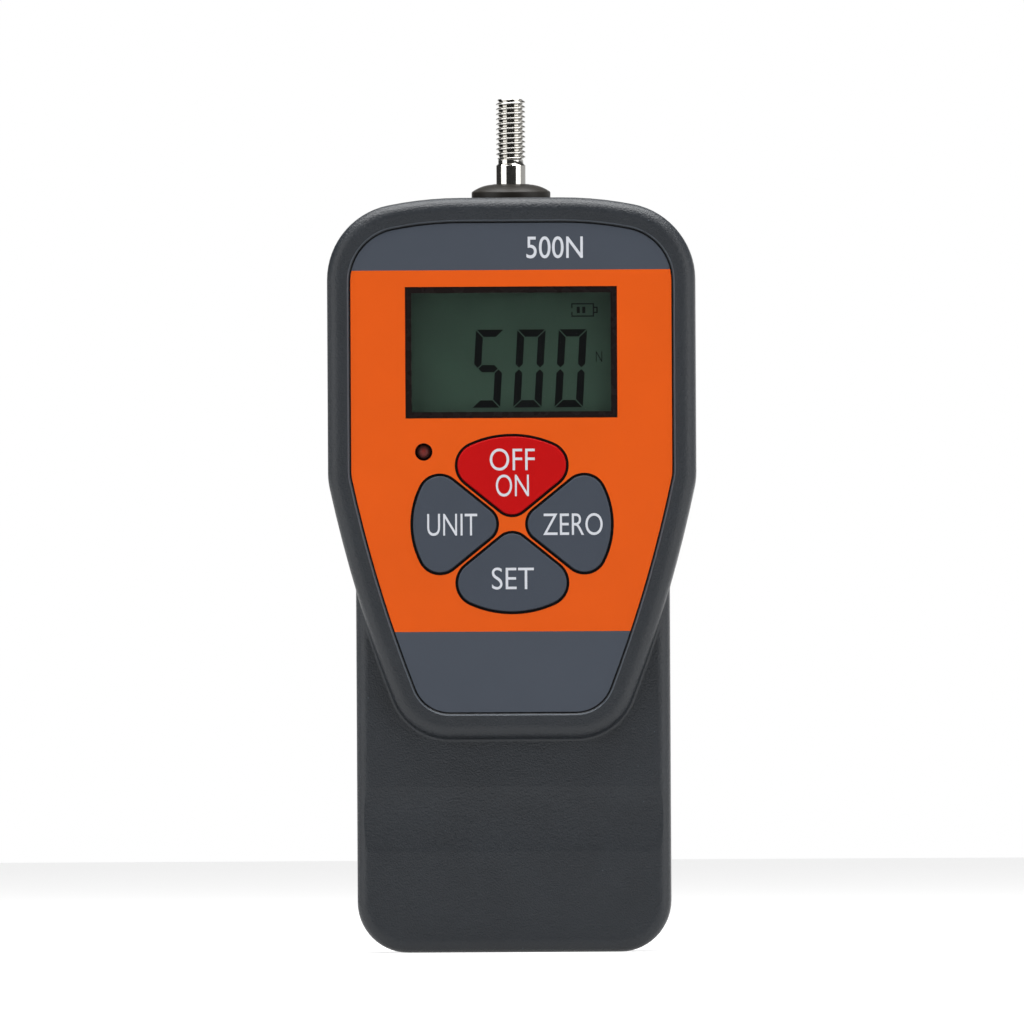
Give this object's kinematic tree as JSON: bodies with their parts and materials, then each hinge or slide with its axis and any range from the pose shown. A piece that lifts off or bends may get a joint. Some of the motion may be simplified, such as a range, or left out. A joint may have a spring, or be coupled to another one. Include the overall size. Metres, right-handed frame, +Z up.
{
  "type": "force gauge",
  "caption": "Handheld digital force gauge: wide head with a display and shaped keys over a narrower grip, and a threaded sensor shaft on top.",
  "frame": {"origin": "middle of the lower end, on the surface that the gauge stands on, under the shaft's axis", "axes": "+Z up along the shaft's axis, -Y out of the display, +X to the display's right as its user sees it"},
  "size_m": [0.0736, 0.036, 0.1708],
  "materials": {
    "case_plastic": "fine moulded texture",
    "panel_plastic": "satin print",
    "black_plastic": "moulded",
    "clear_window": "polished acrylic",
    "lcd_glass": "polariser film",
    "strip_rubber": "cut",
    "red_lamp": "diffused epoxy",
    "board_laminate": "solder mask",
    "bright_steel": "turned",
    "black_steel": "blackened",
    "collar_plastic": "moulded, glossy",
    "aluminium": "milled",
    "gauge_film": "polyimide film",
    "brass": "turned",
    "battery_sleeve": "shrink sleeve",
    "grey_key_plastic": "satin print",
    "red_key_plastic": "satin print"
  },
  "bodies": {
    "case": {"front_case": "case_plastic", "back_case": "case_plastic", "case_screws": "black_steel", "face_panel": "panel_plastic", "display_frame": "black_plastic", "display_window": "clear_window", "lcd_cell": "lcd_glass", "lcd_holder": "black_plastic", "lcd_strips": "strip_rubber", "status_lamp": "red_lamp", "key_switches": "black_plastic", "main_board": "board_laminate", "board_chips": "black_plastic", "board_screws": "bright_steel", "shaft_collar": "collar_plastic", "load_cell": "aluminium", "strain_gauges": "gauge_film", "load_cell_bolt": "black_steel", "chassis": "aluminium", "chassis_screws": "bright_steel", "stand_bosses": "brass", "battery_cells": "battery_sleeve", "battery_tabs": "bright_steel", "battery_tray": "black_plastic", "socket_board": "board_laminate", "socket_screws": "bright_steel", "charge_jack": "black_plastic", "charge_pin": "brass", "data_port": "bright_steel"},
    "sensor": {"sensor_shaft": "bright_steel", "shaft_nut": "bright_steel"},
    "power_key": {"key_power": "red_key_plastic", "plunger_power": "black_plastic"},
    "unit_key": {"key_unit": "grey_key_plastic", "plunger_unit": "black_plastic"},
    "zero_key": {"key_zero": "grey_key_plastic", "plunger_zero": "black_plastic"},
    "set_key": {"key_set": "grey_key_plastic", "plunger_set": "black_plastic"}
  },
  "joints": [
    {"name": "sensor_flex", "type": "slide", "parent": "case", "child": "sensor", "axis": [0, 0, 1], "range_m": [-0.00025, 0.00025], "stiffness_N_per_m": 2000000, "deforming": ["load_cell"]},
    {"name": "power_press", "type": "slide", "parent": "case", "child": "power_key", "axis": [0, 1, 0], "range_m": [0, 0.0003], "stiffness_N_per_m": 4000, "springref_m": -0.0001},
    {"name": "unit_press", "type": "slide", "parent": "case", "child": "unit_key", "axis": [0, 1, 0], "range_m": [0, 0.0003], "stiffness_N_per_m": 4000, "springref_m": -0.0001},
    {"name": "zero_press", "type": "slide", "parent": "case", "child": "zero_key", "axis": [0, 1, 0], "range_m": [0, 0.0003], "stiffness_N_per_m": 4000, "springref_m": -0.0001},
    {"name": "set_press", "type": "slide", "parent": "case", "child": "set_key", "axis": [0, 1, 0], "range_m": [0, 0.0003], "stiffness_N_per_m": 4000, "springref_m": -0.0001}
  ]
}
